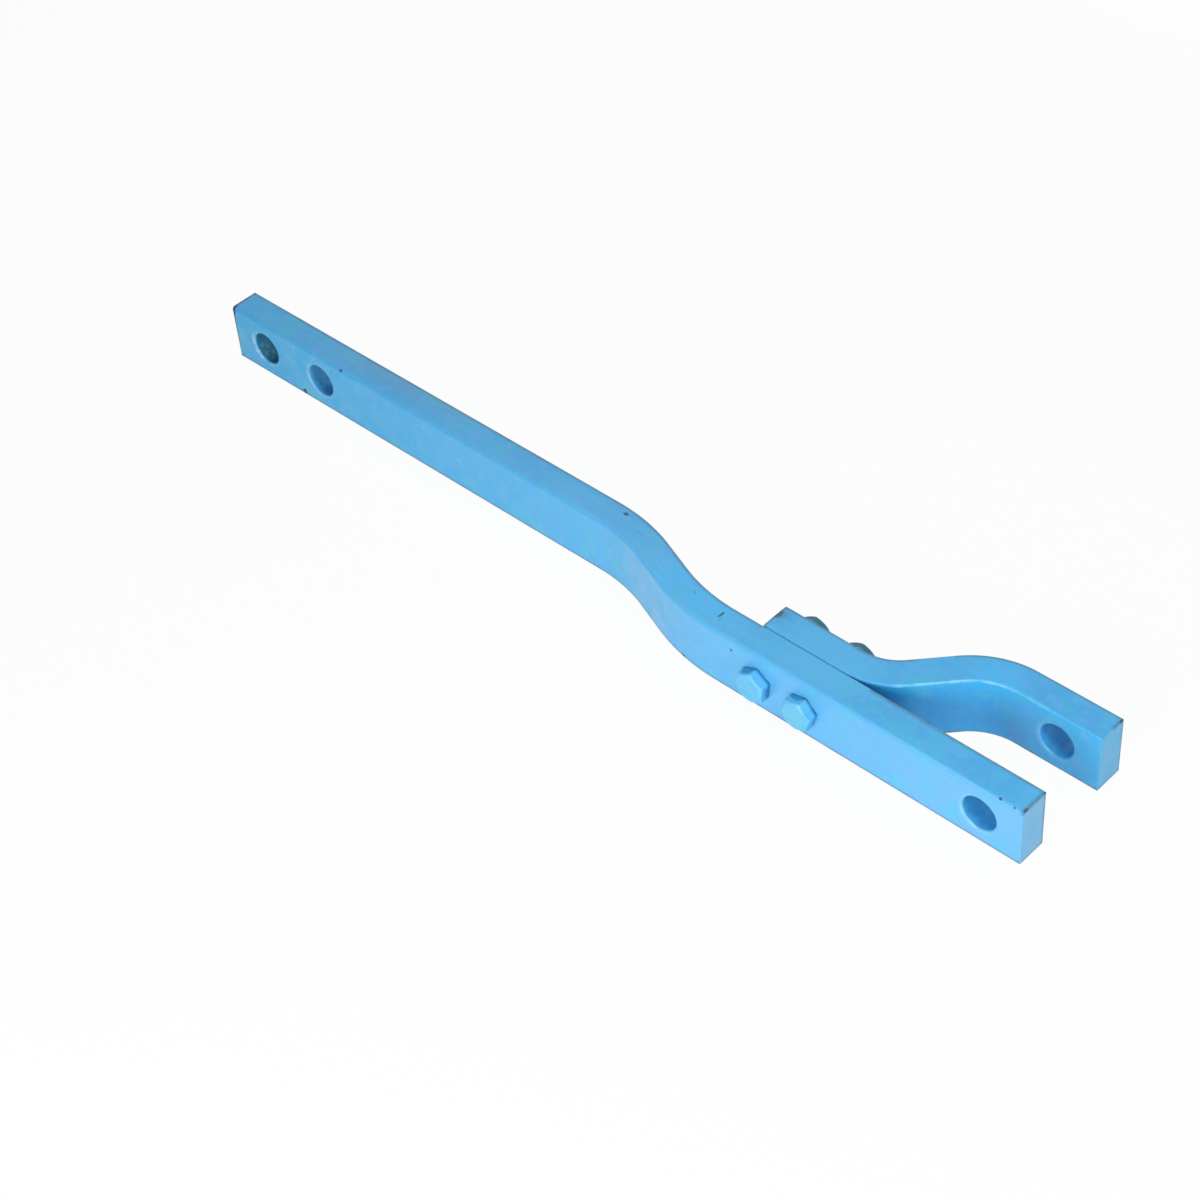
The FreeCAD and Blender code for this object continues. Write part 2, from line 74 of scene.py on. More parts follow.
def spinProfile(name, points, x, height, steps=96):
    # points are (radius, y) in mm, from axis to axis; the axis runs along Y
    bm = bmesh.new()
    verts = [bm.verts.new((x * mm + r * mm, y * mm, height * mm)) for r, y in points]
    edges = [bm.edges.new(pair) for pair in zip(verts, verts[1:])]
    bmesh.ops.spin(bm, geom=verts + edges, cent=(x * mm, 0, height * mm), axis=(0, 1, 0),
                   angle=math.tau, steps=steps, use_merge=True)
    bmesh.ops.remove_doubles(bm, verts=bm.verts, dist=0.001 * mm)
    bmesh.ops.dissolve_degenerate(bm, edges=bm.edges, dist=0.0001 * mm)
    bmesh.ops.recalc_face_normals(bm, faces=bm.faces)
    return addPiece(name, bm)


def markEdges(piece, quiet=8.0, fullTurn=14.0):
    # 1 on outer edges and rims, 0 on flats and bends, in degrees of turn: the paint reads it
    bm = bmesh.new()
    bm.from_mesh(piece.data)
    turn = bm.verts.layers.float.new("edgeTurn")
    for v in bm.verts:
        total = sum(e.calc_face_angle_signed(0.0) for e in v.link_edges if len(e.link_faces) == 2)
        v[turn] = max(0.0, min(1.0, (math.degrees(total) - quiet) / (fullTurn - quiet)))
    bm.to_mesh(piece.data)
    bm.free()


def markPlaces(piece, name, inside):
    # an own attribute, from the vertex's place in mm and its outward direction
    mesh = piece.data
    layer = mesh.attributes.new(name, "FLOAT", "POINT")
    for i, v in enumerate(mesh.vertices):
        layer.data[i].value = float(inside(v.co / mm, v.normal))


def softShade(piece, sharpAngle):
    piece.data.polygons.foreach_set("use_smooth", [True] * len(piece.data.polygons))
    piece.data.set_sharp_from_angle(angle=math.radians(sharpAngle))
    weigh = piece.modifiers.new("weigh normals", "WEIGHTED_NORMAL")
    weigh.keep_sharp = True
    bakeModifiers(piece)


def finishPiece(piece, material, *nodes):
    piece.data.materials.clear()
    piece.data.materials.append(material)
    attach(piece, "root")
    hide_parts(*nodes)


# the two bent flats, in mm and degrees

bar = {
    "rearEnd": -787.4, "frontEnd": 34.9,
    "rearLine": -11.1125, "frontLine": -42.8625,     # middle of the flat, before and after the bends
    "frontTangent": -234.393, "angle": 21.1,
    "rearInside": 139.7, "frontInside": 153.4,
    "thickness": 25.4, "width": 50.8, "corner": 1.1, "frontCorner": 2.7, "sawnEdge": 0.8,
    "pinHoles": [(-750.1, 14.0), (-684.2, 14.0), (0.0, 14.0)],
    "facing": 1,                                     # which side looks at the other flat
    "cell": 3.6, "wave": 0.10, "seed": 3.1,
}
strap = {
    "rearEnd": -209.293, "frontEnd": 35.3,
    "rearLine": -17.4625, "frontLine": 42.8625,
    "frontTangent": -34.1, "angle": 46.5,
    "rearInside": 39.3, "frontInside": 46.9,
    "thickness": 25.4, "width": 50.8, "corner": 1.1, "frontCorner": 2.2, "sawnEdge": 0.8,
    "pinHoles": [(0.0, 14.0)],
    "facing": -1,
    "cell": 3.2, "wave": 0.12, "seed": 8.4, "lipHighlight": (-103.0, -3.0),
}
fastening = {      # the two bolts, a little under the middle of the flats
    "rear": -193.593, "front": -151.793, "height": -1.2, "holeRadius": 8.7375, "holeRim": 0.5,
}
pinHole = {"rim": 1.5, "reach": 0.1, "shadeFrom": 0.5, "shadeOver": 4.0, "leastShade": 0.25}
drill = {"past": 3.0, "rimSteps": 6, "nearRing": 1.2, "farRing": 4.0}
edgeLight = {      # where painted shade lies along the edges, and where the strap's lip gets a painted highlight
    "rimReach": 4.0, "endReach": 3.0, "lap": (-208.0, -112.0), "lapFace": -25.0, "farCorner": 46.0,
    "lipBend": -50.0, "lipBeyond": 0.45,
}
tilt = {      # how far a surface has to turn, as parts of its outward direction
    "shadedEdge": 0.045, "end": 0.1, "lipHighlight": (0.2, 0.97), "topEdge": 0.03, "frontFace": 0.6,
    "inner": 0.3, "innerUp": 0.5, "sawn": 0.97,
}
millSkin = {"along": 14, "across": 30, "fine": 75, "even": 0.5, "rolled": 0.35, "hammered": 0.15}
flatSharp = 38.0


def bends(f):
    # angle, the two radii to the flat's middle, the straight between them, and where they begin
    angle = math.radians(f["angle"])
    rearRadius = f["rearInside"] + f["thickness"] / 2
    frontRadius = f["frontInside"] + f["thickness"] / 2
    both = rearRadius + frontRadius
    step = abs(f["frontLine"] - f["rearLine"])
    slope = (step - both * (1 - math.cos(angle))) / math.sin(angle)
    run = step / math.tan(angle) + both * math.tan(angle / 2)
    return angle, rearRadius, frontRadius, slope, f["frontTangent"] - run


def middleLine(f, x):
    rearTangent = bends(f)[-1]
    return f["rearLine"] if x < (rearTangent + f["frontTangent"]) / 2 else f["frontLine"]


def rolledSection(bm, f):
    # a rounded rectangle, standing across the flat at its rear end
    across = round(f["thickness"] / f["cell"])
    up = round(f["width"] / f["cell"])
    made = bmesh.ops.create_grid(bm, x_segments=across, y_segments=up, size=0.5)
    corners = [v for v in made["verts"] if len(v.link_edges) == 2]
    bmesh.ops.scale(bm, verts=made["verts"], vec=(f["thickness"] * mm, f["width"] * mm, 1))
    frontTop = [v for v in corners if v.co.x < 0 and v.co.y > 0]
    others = [v for v in corners if v not in frontTop]
    for some, radius in ((frontTop, f["frontCorner"]), (others, f["corner"])):
        bmesh.ops.bevel(bm, geom=some, offset=radius * mm, affect="VERTICES", segments=6,
                        profile=0.5, material=-1)
    stand = Matrix(((0, 0, 1), (1, 0, 0), (0, 1, 0))).to_4x4()
    place = Matrix.Translation((f["rearEnd"] * mm, f["rearLine"] * mm, 0))
    bmesh.ops.transform(bm, matrix=place @ stand, verts=bm.verts)
    return [e for e in bm.edges if e.is_boundary]


def runStraight(bm, rim, move, cell):
    steps = max(1, round(move.length / cell))
    for _ in range(steps):
        made = bmesh.ops.extrude_edge_only(bm, edges=rim)
        moved = [g for g in made["geom"] if isinstance(g, bmesh.types.BMVert)]
        bmesh.ops.translate(bm, verts=moved, vec=move / steps)
        rim = [g for g in made["geom"] if isinstance(g, bmesh.types.BMEdge)]
    return rim


def runBend(bm, rim, centre, angle, radius, cell):
    steps = max(4, round(abs(angle) * radius / cell))
    made = bmesh.ops.spin(bm, geom=rim, cent=centre, axis=(0, 0, 1), angle=angle, steps=steps)
    return [g for g in made["geom_last"] if isinstance(g, bmesh.types.BMEdge)]


def rollUneven(bm, f, skin=millSkin):
    # the mill leaves the flat a tenth of a millimetre uneven
    bm.normal_update()
    coarse = Vector((skin["along"], skin["across"], skin["across"]))
    lift = Vector((0, 0, f["seed"]))
    for v in bm.verts:
        rolled = noise.noise(v.co * coarse + lift)
        hammered = noise.noise(v.co * skin["fine"] + lift)
        depth = skin["even"] + skin["rolled"] * rolled + skin["hammered"] * hammered
        v.co -= v.normal * f["wave"] * mm * depth


def bentFlat(name, f, weld=0.03, sawnTurn=1.2):
    side = 1 if f["frontLine"] > f["rearLine"] else -1
    angle, rearRadius, frontRadius, slope, rearTangent = bends(f)
    cell = f["cell"] * mm

    bm = bmesh.new()
    rim = rolledSection(bm, f)
    rearCap = list(bm.verts) + list(bm.edges) + list(bm.faces)
    frontCap = bmesh.ops.duplicate(bm, geom=rearCap)["geom"]
    capVerts = [g for g in frontCap if isinstance(g, bmesh.types.BMVert)]
    toFront = Vector((f["frontEnd"] - f["rearEnd"], f["frontLine"] - f["rearLine"], 0)) * mm
    bmesh.ops.translate(bm, verts=capVerts, vec=toFront)
    rim = runStraight(bm, rim, Vector((rearTangent - f["rearEnd"], 0, 0)) * mm, cell)
    rim = runBend(bm, rim, Vector((rearTangent, f["rearLine"] + side * rearRadius, 0)) * mm,
                  side * angle, rearRadius * mm, cell)
    rim = runStraight(bm, rim, Vector((math.cos(angle), side * math.sin(angle), 0)) * slope * mm, cell)
    rim = runBend(bm, rim, Vector((f["frontTangent"], f["frontLine"] - side * frontRadius, 0)) * mm,
                  -side * angle, frontRadius * mm, cell)
    runStraight(bm, rim, Vector((f["frontEnd"] - f["frontTangent"], 0, 0)) * mm, cell)
    bmesh.ops.remove_doubles(bm, verts=bm.verts, dist=weld * mm)
    bmesh.ops.recalc_face_normals(bm, faces=bm.faces)
    sawn = [e for e in bm.edges if e.calc_face_angle(0.0) > sawnTurn]
    bmesh.ops.bevel(bm, geom=sawn, offset=f["sawnEdge"] * mm, affect="EDGES", segments=3,
                    profile=0.5, material=-1)
    rollUneven(bm, f)
    return addPiece(name, bm)


def drillHole(piece, x, height, radius, nearFace, farFace, rim, d=drill):
    # a round tool with rounded shoulders, which leaves rounded rims
    wide = radius + rim
    turns = [math.radians(90 * i / d["rimSteps"]) for i in range(d["rimSteps"] + 1)]
    nearRim = [(wide - rim * math.sin(a), nearFace + rim - rim * math.cos(a)) for a in turns]
    farRim = [(wide - rim * math.sin(a), farFace - rim + rim * math.cos(a)) for a in reversed(turns)]
    rings = [(radius, nearFace + rim + d["nearRing"]), (radius, nearFace + rim + d["farRing"]),
             (radius, farFace - rim - d["farRing"]), (radius, farFace - rim - d["nearRing"])]
    start = [(0, nearFace - d["past"]), (wide, nearFace - d["past"])]
    end = [(wide, farFace + d["past"]), (0, farFace + d["past"])]
    tool = spinProfile("drill", start + nearRim + rings + farRim + end, x, height)
    combine(piece, tool, "DIFFERENCE")


def boreShade(co, f, hole=pinHole):
    # painted shade: 0 outside the pin holes, and up to 1 deep in them
    for x, radius in f["pinHoles"]:
        if math.hypot(co.x - x, co.z) < radius + hole["reach"]:
            depth = f["thickness"] / 2 - abs(co.y - middleLine(f, x))
            return max(hole["leastShade"], min(1.0, (depth - hole["shadeFrom"]) / hole["shadeOver"]))
    return 0.0


def isShadedEdge(co, normal, f, w=edgeLight):
    # painted shade on the edges that look away from the front: behind, underneath and round the ends
    if any(math.hypot(co.x - x, co.z) < radius + w["rimReach"] for x, radius in f["pinHoles"]):
        return False
    if normal.y > 0.0 and co.y < w["lapFace"] and w["lap"][0] < co.x < w["lap"][1]:
        return False    # paint fills the seam between the two flats
    if co.x < f["rearEnd"] + w["endReach"] and normal.x < -tilt["end"]:
        return True
    if co.x > f["frontEnd"] - w["endReach"] and normal.x > tilt["end"] and normal.z > tilt["end"]:
        return co.y < 0.0 or co.y > w["farCorner"]
    return normal.y > tilt["shadedEdge"] or normal.z < -tilt["shadedEdge"]


def lipHighlightMask(co, normal, f, w=edgeLight):
    # a painted highlight along the strap's upper edge inside the clevis, strongest at the bend
    start, end = f.get("lipHighlight", (0.0, 0.0))
    low, high = tilt["lipHighlight"]
    if not (start < co.x < end and normal.y < -tilt["end"] and low < normal.z < high):
        return 0.0
    return 1.0 if co.x < w["lipBend"] else w["lipBeyond"]


def isInner(normal, f):
    # the sides of bar and strap that look at each other
    return normal.y * f["facing"] > tilt["inner"] and abs(normal.z) < tilt["innerUp"]


def makeFlat(name, f):
    piece = bentFlat(name, f)
    half = f["thickness"] / 2
    for x, radius in f["pinHoles"]:
        line = middleLine(f, x)
        drillHole(piece, x, 0.0, radius, line - half, line + half, pinHole["rim"])
    for x in (fastening["rear"], fastening["front"]):
        line = middleLine(f, x)
        drillHole(piece, x, fastening["height"], fastening["holeRadius"], line - half, line + half,
                  fastening["holeRim"])
    markEdges(piece)
    markPlaces(piece, "bore", lambda co, normal: boreShade(co, f))
    markPlaces(piece, "shadedEdge", lambda co, normal: isShadedEdge(co, normal, f))
    markPlaces(piece, "lipHighlight", lambda co, normal: lipHighlightMask(co, normal, f))
    markPlaces(piece, "topEdge", lambda co, normal: min(-normal.y, normal.z) > tilt["topEdge"])
    markPlaces(piece, "frontFace", lambda co, normal: normal.y < -tilt["frontFace"])
    markPlaces(piece, "inner", lambda co, normal: isInner(normal, f))
    markPlaces(piece, "sawn", lambda co, normal: abs(normal.x) > tilt["sawn"])
    softShade(piece, flatSharp)
    print(name, "made:", len(piece.data.polygons), "faces")
    return piece


# bolts, nuts and washers, in mm and degrees

hexagon = {"acrossFlats": 24.0, "beyond": 1.0, "softAngle": 22.0, "sharp": 34.0}
overlap = 2.0      # how far a piece or tool reaches into or past its neighbour
bolt = {
    "seat": -55.5625, "headHeight": 9.9, "washerFace": 0.4, "washerCircle": 0.95,
    "faceCircle": 0.88, "chamferAngle": 34.0, "soft": 0.8,
    "shank": 7.9375, "root": 6.85, "tip": 14.5375, "tipChamfer": 1.0,
    "turn": {"rear": 25.0, "front": 13.0},
}
thread = {
    "from": -9.0, "runOut": 1.2, "pitch": 2.309, "halfFoot": 0.44, "footSink": 0.15,
    "halfCrest": 0.12, "crestSink": 0.05, "endChamfer": 1.6, "stepsPerTurn": 36,
}
nut = {
    "base": -2.3625, "top": 11.5375, "bore": 7.0, "mouth": 0.5,
    "faceCircle": 0.94, "chamferAngle": 28.0, "soft": 0.35,
    "turn": {"rear": 32.0, "front": 27.0},
}
lockWasher = {
    "base": -4.7625, "outer": 12.7, "inner": 8.1, "thickness": 2.4, "split": 352.0, "rise": 0.25,
    "edge": 0.25, "steps": 88, "turn": {"rear": 70.0, "front": 200.0},
}


def hexBlock(name, x, turn, lowY, highY):
    bm = bmesh.new()
    made = bmesh.ops.create_circle(bm, cap_ends=True, segments=6,
                                   radius=hexagon["acrossFlats"] / math.sqrt(3) * mm)
    atAxis = Matrix.Translation((x * mm, lowY * mm, fastening["height"] * mm))
    lie = Matrix.Rotation(math.radians(-90), 4, "X")
    turned = Matrix.Rotation(math.radians(-90 - turn), 4, "Z")
    bmesh.ops.transform(bm, matrix=atAxis @ lie @ turned, verts=made["verts"])
    made = bmesh.ops.extrude_face_region(bm, geom=list(bm.faces))
    moved = [g for g in made["geom"] if isinstance(g, bmesh.types.BMVert)]
    bmesh.ops.translate(bm, verts=moved, vec=(0, (highY - lowY) * mm, 0))
    bmesh.ops.recalc_face_normals(bm, faces=bm.faces)
    return addPiece(name, bm)


def hexChamfer(part):
    # half the width across flats, the chamfer's reach and how far it falls
    flat = hexagon["acrossFlats"] / 2
    corner = flat / math.cos(math.radians(30)) + hexagon["beyond"]
    fall = (corner - part["faceCircle"] * flat) * math.tan(math.radians(part["chamferAngle"]))
    return flat, corner, fall


def softenHex(piece, width):
    soft = piece.modifiers.new("soft edges", "BEVEL")
    soft.width = width * mm
    soft.segments = 3
    soft.limit_method = "ANGLE"
    soft.angle_limit = math.radians(hexagon["softAngle"])
    bakeModifiers(piece)


def threadRidge(x, b=bolt, t=thread):
    # one ridge wound round the root
    height = fastening["height"]
    turns = (b["tip"] - t["from"]) / t["pitch"] - 1.0
    foot = b["root"] - t["footSink"]
    crest = b["shank"] - t["crestSink"]
    halfFoot = t["pitch"] * t["halfFoot"]
    start = t["from"] + t["runOut"]
    shape = [(foot, -halfFoot), (foot, halfFoot), (crest, t["halfCrest"]), (crest, -t["halfCrest"])]
    bm = bmesh.new()
    face = bm.faces.new([bm.verts.new(((x + r) * mm, (start + y) * mm, height * mm)) for r, y in shape])
    steps = round(turns * t["stepsPerTurn"])
    bmesh.ops.spin(bm, geom=[face], cent=(x * mm, 0, height * mm), axis=(0, 1, 0),
                   angle=math.tau * turns, steps=steps, dvec=(0, turns * t["pitch"] * mm / steps, 0))
    bmesh.ops.recalc_face_normals(bm, faces=bm.faces)
    axis = Vector((x * mm, 0, height * mm))
    for v in bm.verts:      # the point of the bolt is chamfered, so the last turn runs out
        most = (crest - max(0.0, v.co.y / mm - (b["tip"] - t["endChamfer"]))) * mm
        out = Vector((v.co.x, 0, v.co.z)) - axis
        if out.length > most:
            out *= most / out.length
            v.co.x, v.co.z = axis.x + out.x, axis.z + out.z
        v.co.y = min(v.co.y, (b["tip"] - t["crestSink"]) * mm)
    return addPiece("thread", bm)


def joinMesh(piece, other):
    joined = bmesh.new()
    joined.from_mesh(piece.data)
    joined.from_mesh(other.data)
    joined.to_mesh(piece.data)
    joined.free()
    bpy.data.objects.remove(other)


def makeBolt(side, b=bolt):
    x, height = fastening[side], fastening["height"]
    flat, corner, fall = hexChamfer(b)
    top = b["seat"] - b["headHeight"]
    under = b["seat"] - b["washerFace"]
    face = b["faceCircle"] * flat
    washer = b["washerCircle"] * flat
    piece = hexBlock(side + "Bolt", x, b["turn"][side], top, under)
    past = under + overlap / 2
    inHead = under - overlap
    chamfer = [(0, top), (face, top), (corner, top + fall), (corner, past), (0, past)]
    combine(piece, spinProfile("chamfer", chamfer, x, height), "INTERSECT")
    softenHex(piece, b["soft"])
    body = [(0, inHead), (washer, inHead), (washer, b["seat"]), (b["shank"], b["seat"]),
            (b["shank"], thread["from"]), (b["root"], thread["from"] + thread["runOut"]),
            (b["root"], b["tip"] - b["tipChamfer"]), (b["root"] - b["tipChamfer"], b["tip"]), (0, b["tip"])]
    combine(piece, spinProfile("shank", body, x, height), "UNION")
    joinMesh(piece, threadRidge(x))
    markEdges(piece)
    softShade(piece, hexagon["sharp"])
    return piece


def makeNut(side, n=nut):
    x, height = fastening[side], fastening["height"]
    flat, corner, fall = hexChamfer(n)
    low, high = n["base"], n["top"]
    face = n["faceCircle"] * flat
    piece = hexBlock(side + "Nut", x, n["turn"][side], low, high)
    both = [(0, low), (face, low), (corner, low + fall), (corner, high - fall), (face, high), (0, high)]
    combine(piece, spinProfile("chamfer", both, x, height), "INTERSECT")
    softenHex(piece, n["soft"])
    mouth = bolt["shank"] + n["mouth"]
    deep = mouth - n["bore"]
    bore = [(0, low - overlap), (mouth, low - overlap), (mouth, low), (n["bore"], low + deep),
            (n["bore"], high - deep), (mouth, high), (mouth, high + overlap), (0, high + overlap)]
    combine(piece, spinProfile("bore", bore, x, height), "DIFFERENCE")
    markEdges(piece)
    softShade(piece, hexagon["sharp"])
    return piece


def makeWasher(side, w=lockWasher):
    # a split ring that rises a little from one end of the split to the other
    x, height = fastening[side], fastening["height"]
    low, high = w["base"], w["base"] + w["thickness"] - w["rise"]
    bm = bmesh.new()
    shape = [(w["inner"], low), (w["outer"], low), (w["outer"], high), (w["inner"], high)]
    verts = [bm.verts.new(((x + r) * mm, y * mm, height * mm)) for r, y in shape]
    bm.faces.new(verts)
    bmesh.ops.bevel(bm, geom=verts, offset=w["edge"] * mm, affect="VERTICES", segments=2,
                    profile=0.5, material=-1)
    bmesh.ops.spin(bm, geom=list(bm.faces), cent=(x * mm, 0, height * mm), axis=(0, 1, 0),
                   angle=math.radians(w["split"]), steps=w["steps"],
                   dvec=(0, w["rise"] * mm / w["steps"], 0))
    bmesh.ops.rotate(bm, verts=bm.verts, cent=(x * mm, 0, height * mm),
                     matrix=Matrix.Rotation(math.radians(w["turn"][side]), 3, "Y"))
    bmesh.ops.recalc_face_normals(bm, faces=bm.faces)
    piece = addPiece(side + "LockWasher", bm)
    markEdges(piece)
    softShade(piece, hexagon["sharp"])
    return piece


# paint: the colours, how much of each tint lies over the last, and the textures that break them up

paint = {
    "pale": (0.088, 0.455, 0.805), "deep": (0.062, 0.385, 0.745), "fresh": (0.066, 0.470, 0.885),
    "green": (0.072, 0.462, 0.705), "violet": (0.112, 0.415, 0.830), "greyish": (0.150, 0.340, 0.520),
    "end": (0.165, 0.450, 0.710), "wornAndShaded": (0.066, 0.150, 0.215), "shade": (0.046, 0.320, 0.640),
    "bore": (0.005, 0.180, 0.460), "boreNear": (0.022, 0.385, 0.800), "wedge": (0.018, 0.168, 0.390),
    "lipHighlight": (0.13, 0.49, 0.80), "ring": (0.20, 0.54, 0.80), "streaksAndShade": (0.030, 0.260, 0.520),
    "soot": (0.018, 0.165, 0.285), "rimGlint": (0.420, 0.600, 0.820), "chips": (0.022, 0.070, 0.125),
    "rustAndShade": (0.075, 0.062, 0.050), "scuffsAndLight": (0.09, 0.20, 0.30),
    "roughness": (0.27, 0.46), "ior": 1.50, "peel": 0.018, "pits": 0.050, "saw": 0.06,
    "boreDull": 0.12, "lipGloss": 0.15, "bareDull": 0.3, "bareSunk": 0.12,
    "ragged": 1.7, "greyRagged": 0.3, "shadedEdgeFall": 0.6,
}
strength = {
    "coats": 0.85, "greyish": 0.45, "streaksAndShade": 0.55, "frontLight": 0.75, "shade": 0.40, "wedge": 0.67,
    "foot": 0.85, "scuffsAndLight": 0.42, "rimGlint": 0.70, "rustAndShade": 0.85, "chips": 0.95,
}
softRim = {"coats": 0.5, "greyish": 0.7, "streaksAndShade": 0.9, "wedge": 0.8, "marks": 0.12}
tones = {"cloud": 0.45, "streak": 0.30, "mottle": 0.25}
texture = {      # scale, as a whole or along each axis, then detail and roughness
    "cloud": (9.0, 2.0, 0.5), "streak": ((10, 220, 220), 3.0, 0.5), "mottle": (260.0, 4.0, 0.65),
    "green": (62.0, 4.0, 0.6), "violet": ((85, 85, 85), 4.0, 0.6), "endSheen": (120.0, 4.0, 0.6),
    "patches": (70.0, 4.0, 0.7), "boreShadeNoise": (210.0, 4.0, 0.65), "boreDarkNoise": (190.0, 4.0, 0.7),
    "lipHighlight": (190.0, 2.0, 0.5), "ring": (140.0, 3.0, 0.5), "thinCoat": (240.0, 3.0, 0.5),
    "ragged": (650.0, 4.0, 0.7), "dull": (60.0, 3.0, 0.5), "peel": (520.0, 2.0, 0.5),
    "pits": ((150, 230, 230), 4.0, 0.6), "saw": ((1, 60, 900), 2.0, 0.5),
}
limits = {      # what a value is spread from, and where it isn't 0 to 1, what it is spread to
    "tone": (0.41, 0.60), "green": (0.52, 0.66, 0.0, 0.75), "violet": (0.52, 0.66, 0.0, 0.65),
    "endSheen": (0.30, 0.70, 0.45, 1.0), "patches": (0.30, 0.60, 0.60, 1.0),
    "boreShadeNoise": (0.32, 0.64, 0.45, 1.0), "boreDarkNoise": (0.48, 0.62, 0.0, 0.38), "lipHighlight": (0.40, 0.56),
    "ring": (0.30, 0.62, 0.25, 0.85), "thinCoat": (0.30, 0.60, 0.65, 1.0), "soot": (0.10, 0.55),
    "pits": (0.40, 0.62), "dull": (0.3, 0.7),
    "frontLight": (-0.75, 0.0), "boreTint": (-0.60, -0.10),      # these two along the bar, in metres
}
rimLight = {      # a painted highlight round a pin hole's mouth
    "begins": (-0.1, 0.4), "ends": (4.0, 1.8),             # in mm beyond the hole's radius
    "litSide": (-0.8, 0, -0.6), "sideLimits": (-0.5, 0.9),
}
headFoot = (3.0, 1.5)      # mm in front of the bolts' seat
coats = {      # as (place in mm, reach in mm), all along the top
    "pale": [((-150.0, -28.0, 26.0), (52.0, 34.0, 14.0))],      # thicker and paler
    "fresh": [      # where the blue is strongest
        ((-272.0, -36.0, 26.0), (60.0, 26.0, 14.0)),
        ((-50.0, 32.0, 26.0), (26.0, 22.0, 14.0)),
    ],
    "deep": [
        ((0.0, 42.0, 26.0), (44.0, 20.0, 14.0)),
        ((0.0, -43.0, 26.0), (40.0, 16.0, 12.0)),
    ],
    "greyish": [      # greyish, at the tractor end
        ((-625.0, -4.0, 25.4), (75.0, 10.0, 8.0)),
        ((-560.0, -2.0, 25.4), (36.0, 8.0, 8.0)),
    ],
}


class Tree:
    # short words for making nodes and joining them
    def __init__(self, owner):
        owner.use_nodes = True
        self.nodes = owner.node_tree.nodes
        self.links = owner.node_tree.links
        self.nodes.clear()

    def add(self, kind, values=None, **settings):
        node = self.nodes.new(kind)
        for key, value in settings.items():
            setattr(node, key, value)
        for key, value in (values or {}).items():
            if isinstance(value, bpy.types.NodeSocket):
                self.links.new(value, node.inputs[key])
            else:
                node.inputs[key].default_value = value
        return node

    def math(self, operation, a, b=0.0, clamp=False):
        return self.add("ShaderNodeMath", {0: a, 1: b}, operation=operation, use_clamp=clamp).outputs[0]

    def joined(self, operation, values):
        total = values[0]
        for value in values[1:]:
            total = self.math(operation, total, value)
        return total

    def vector(self, operation, a, b=(0, 0, 0), result="Vector"):
        return self.add("ShaderNodeVectorMath", {0: a, 1: b}, operation=operation).outputs[result]

    def part(self, place, letter):
        return self.add("ShaderNodeSeparateXYZ", {0: place}).outputs[letter]

    def noise(self, place, name):
        scale, detail, roughness = texture[name]
        if isinstance(scale, tuple):
            place = self.add("ShaderNodeMapping", {"Vector": place, "Scale": scale}).outputs[0]
            scale = 1.0
        made = self.add("ShaderNodeTexNoise", {"Vector": place, "Scale": scale, "Detail": detail,
                                               "Roughness": roughness})
        return made.outputs["Fac"]

    def spread(self, value, low, high, toLow=0.0, toHigh=1.0):
        made = self.add("ShaderNodeMapRange", {"Value": value, "From Min": low, "From Max": high,
                                               "To Min": toLow, "To Max": toHigh})
        return made.outputs[0]

    def patchy(self, place, name):
        return self.spread(self.noise(place, name), *limits[name])

    def attribute(self, name):
        return self.add("ShaderNodeAttribute", attribute_name=name).outputs["Fac"]

    def mix(self, share, a, b):
        made = self.add("ShaderNodeMix", data_type="RGBA")
        for key, value in (("Factor", share), ("A", a), ("B", b)):
            socket = [s for s in made.inputs if s.name == key and s.enabled][0]
            if isinstance(value, bpy.types.NodeSocket):
                self.links.new(value, socket)
            else:
                socket.default_value = value if key == "Factor" else (*value, 1.0)
        return [s for s in made.outputs if s.enabled][0]

    def over(self, colour, tint, mask, share):
        # the tint laid over the colour, where the mask is and as much as the share says
        return self.mix(self.math("MULTIPLY", mask, share), colour, tint)


def spotMask(t, place, spots, ragged=0.0, rim="marks"):
    # spots are (place in mm, reach in mm); the noise makes their rims ragged
    insides = []
    for at, reach in spots:
        away = t.vector("SUBTRACT", place, Vector(at) * mm)
        scaled = t.vector("MULTIPLY", away, [1 / (r * mm) for r in reach])
        insides.append(t.math("SUBTRACT", 1.0, t.vector("LENGTH", scaled, result="Value")))
    return t.spread(t.math("ADD", t.joined("MAXIMUM", insides), ragged), 0.0, softRim[rim])


def rimHighlights(t, place, holes, r=rimLight):
    # a painted highlight on the rim, strongest below and behind the hole
    rings = []
    for x, radius in holes:
        across = t.vector("MULTIPLY", t.vector("SUBTRACT", place, (x * mm, 0, 0)), (1, 0, 1))
        far = t.vector("LENGTH", across, result="Value")
        side = t.vector("DOT_PRODUCT", across, r["litSide"], "Value")
        heavy = t.spread(t.math("DIVIDE", side, far), *r["sideLimits"])
        begins = t.spread(far, *((radius + beyond) * mm for beyond in r["begins"]))
        ends = t.spread(far, *((radius + beyond) * mm for beyond in r["ends"]))
        rings.append(t.math("MULTIPLY", t.math("MULTIPLY", begins, ends), heavy))
    return t.math("MULTIPLY", t.joined("MAXIMUM", rings), t.patchy(place, "ring"))


